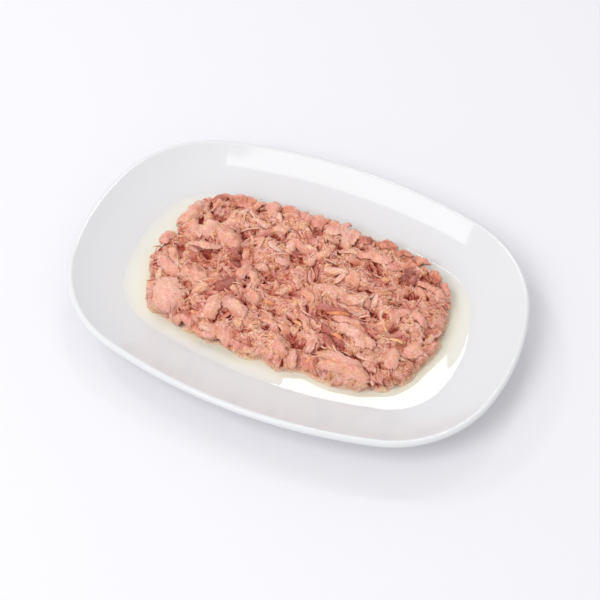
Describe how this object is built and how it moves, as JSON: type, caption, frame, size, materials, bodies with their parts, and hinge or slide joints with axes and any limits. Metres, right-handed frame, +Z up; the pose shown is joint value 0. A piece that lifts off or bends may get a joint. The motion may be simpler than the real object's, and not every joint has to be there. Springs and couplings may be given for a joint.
{
  "type": "flaked fish cat food on a plate",
  "caption": "Heap of moist flaked fish in a thin pool of clear broth, on an oblong glazed coupe platter with a low foot ring.",
  "frame": {"origin": "centre of the platter's footprint, on the plane that the foot ring stands on", "axes": "+X along the platter, +Y across it, +Z up"},
  "size_m": [0.24, 0.166, 0.0259],
  "materials": {
    "glaze": "white glossy glaze on porcelain",
    "broth": "clear thin pale straw broth, wet and glossy",
    "fish": "moist cooked fish flesh in salmon pink, rubber stands in for soft food"
  },
  "bodies": {
    "root": {"platter": "glaze", "broth": "broth", "fish_heap": "fish"}
  },
  "joints": []
}
